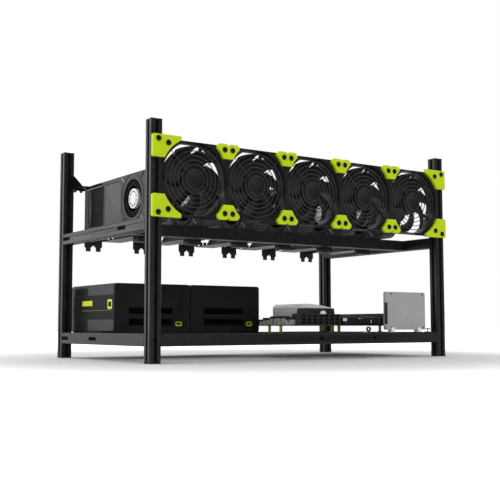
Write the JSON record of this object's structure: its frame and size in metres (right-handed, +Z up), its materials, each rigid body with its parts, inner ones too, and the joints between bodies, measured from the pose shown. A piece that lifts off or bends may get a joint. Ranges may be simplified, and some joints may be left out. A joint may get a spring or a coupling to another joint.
{
  "type": "mining rig frame",
  "caption": "Open frame of slotted black profiles with front case fans, upright blower cards on risers, power supplies, a motherboard and a drive.",
  "frame": {"origin": "middle of the footprint at floor level", "axes": "+X along the front to the right, +Y from the fans to the back, +Z up"},
  "size_m": [0.64, 0.3726, 0.383],
  "materials": {
    "frame_black": "satin black anodised",
    "fan_plastic": "matt dark plastic",
    "rotor_plastic": "satin dark plastic",
    "guard_wire": "black coated wire",
    "plate_yellow": "satin yellow-green",
    "screw_black": "black oxide",
    "shroud_metal": "satin dark grey",
    "blower_plastic": "dark plastic with a pale hub",
    "card_board": "black circuit board",
    "bracket_metal": "dark coated steel",
    "riser_board": "black circuit board and sockets",
    "psu_metal": "fine black texture",
    "switch_plastic": "black rocker",
    "board_green": "black circuit board with soldered parts",
    "sink_metal": "black anodised",
    "cooler_pale": "pale cover",
    "brass": "yellow brass",
    "drive_metal": "light grey metal",
    "clip_plastic": "pale plastic"
  },
  "bodies": {
    "rig": {"post_front_left": "frame_black", "post_front_right": "frame_black", "post_rear_left": "frame_black", "post_rear_right": "frame_black", "lower_rail_front": "frame_black", "lower_rail_rear": "frame_black", "lower_rail_left": "frame_black", "lower_rail_right": "frame_black", "upper_rail_left": "frame_black", "upper_rail_right": "frame_black", "card_beam": "frame_black", "psu_beam": "frame_black", "tray_beam_left": "frame_black", "tray_beam_right": "frame_black", "rear_card_strip": "frame_black", "fan_frame_1": "fan_plastic", "fan_guard_1": "guard_wire", "fan_frame_2": "fan_plastic", "fan_guard_2": "guard_wire", "fan_frame_3": "fan_plastic", "fan_guard_3": "guard_wire", "fan_frame_4": "fan_plastic", "fan_guard_4": "guard_wire", "fan_frame_5": "fan_plastic", "fan_guard_5": "guard_wire", "corner_plates": "plate_yellow", "joint_plates": "plate_yellow", "plate_screws": "screw_black", "frame_fasteners": "screw_black", "card_shroud_1": "shroud_metal", "card_shroud_2": "shroud_metal", "card_shroud_3": "shroud_metal", "card_shroud_4": "shroud_metal", "card_shroud_5": "shroud_metal", "card_shroud_6": "shroud_metal", "card_boards": "card_board", "card_brackets": "bracket_metal", "risers": "riser_board", "psu_left": "psu_metal", "psu_right": "psu_metal", "motherboard": "board_green", "heat_sink": "sink_metal", "cpu_cooler": "cooler_pale", "standoffs": "brass", "drive": "drive_metal", "rail_clips": "clip_plastic"},
    "fan_rotor_1": {"fan_rotor_1": "rotor_plastic"},
    "fan_rotor_2": {"fan_rotor_2": "rotor_plastic"},
    "fan_rotor_3": {"fan_rotor_3": "rotor_plastic"},
    "fan_rotor_4": {"fan_rotor_4": "rotor_plastic"},
    "fan_rotor_5": {"fan_rotor_5": "rotor_plastic"},
    "blower_rotor_1": {"blower_rotor_1": "blower_plastic"},
    "blower_rotor_2": {"blower_rotor_2": "blower_plastic"},
    "blower_rotor_3": {"blower_rotor_3": "blower_plastic"},
    "blower_rotor_4": {"blower_rotor_4": "blower_plastic"},
    "blower_rotor_5": {"blower_rotor_5": "blower_plastic"},
    "blower_rotor_6": {"blower_rotor_6": "blower_plastic"},
    "psu_switch_left": {"psu_switch_left": "switch_plastic"},
    "psu_switch_right": {"psu_switch_right": "switch_plastic"}
  },
  "joints": [
    {"name": "fan_spin_1", "type": "hinge", "parent": "rig", "child": "fan_rotor_1", "pos_m": [-0.24, -0.1549, 0.2925], "axis": [0, -1, 0], "continuous": true},
    {"name": "fan_spin_2", "type": "hinge", "parent": "rig", "child": "fan_rotor_2", "pos_m": [-0.12, -0.1549, 0.2925], "axis": [0, -1, 0], "continuous": true},
    {"name": "fan_spin_3", "type": "hinge", "parent": "rig", "child": "fan_rotor_3", "pos_m": [0, -0.1549, 0.2925], "axis": [0, -1, 0], "continuous": true},
    {"name": "fan_spin_4", "type": "hinge", "parent": "rig", "child": "fan_rotor_4", "pos_m": [0.12, -0.1549, 0.2925], "axis": [0, -1, 0], "continuous": true},
    {"name": "fan_spin_5", "type": "hinge", "parent": "rig", "child": "fan_rotor_5", "pos_m": [0.24, -0.1549, 0.2925], "axis": [0, -1, 0], "continuous": true},
    {"name": "blower_spin_1", "type": "hinge", "parent": "rig", "child": "blower_rotor_1", "pos_m": [-0.264, -0.0577, 0.2716], "axis": [-1, 0, 0], "continuous": true},
    {"name": "blower_spin_2", "type": "hinge", "parent": "rig", "child": "blower_rotor_2", "pos_m": [-0.164, -0.0577, 0.2716], "axis": [-1, 0, 0], "continuous": true},
    {"name": "blower_spin_3", "type": "hinge", "parent": "rig", "child": "blower_rotor_3", "pos_m": [-0.064, -0.0577, 0.2716], "axis": [-1, 0, 0], "continuous": true},
    {"name": "blower_spin_4", "type": "hinge", "parent": "rig", "child": "blower_rotor_4", "pos_m": [0.036, -0.0577, 0.2716], "axis": [-1, 0, 0], "continuous": true},
    {"name": "blower_spin_5", "type": "hinge", "parent": "rig", "child": "blower_rotor_5", "pos_m": [0.136, -0.0577, 0.2716], "axis": [-1, 0, 0], "continuous": true},
    {"name": "blower_spin_6", "type": "hinge", "parent": "rig", "child": "blower_rotor_6", "pos_m": [0.236, -0.0577, 0.2716], "axis": [-1, 0, 0], "continuous": true},
    {"name": "mains_rocker_left", "type": "hinge", "parent": "rig", "child": "psu_switch_left", "pos_m": [-0.2045, 0.1798, 0.0685], "axis": [-1, 0, 0], "range_deg": [0, 11.5]},
    {"name": "mains_rocker_right", "type": "hinge", "parent": "rig", "child": "psu_switch_right", "pos_m": [-0.0525, 0.1798, 0.0685], "axis": [-1, 0, 0], "range_deg": [0, 11.5]}
  ]
}
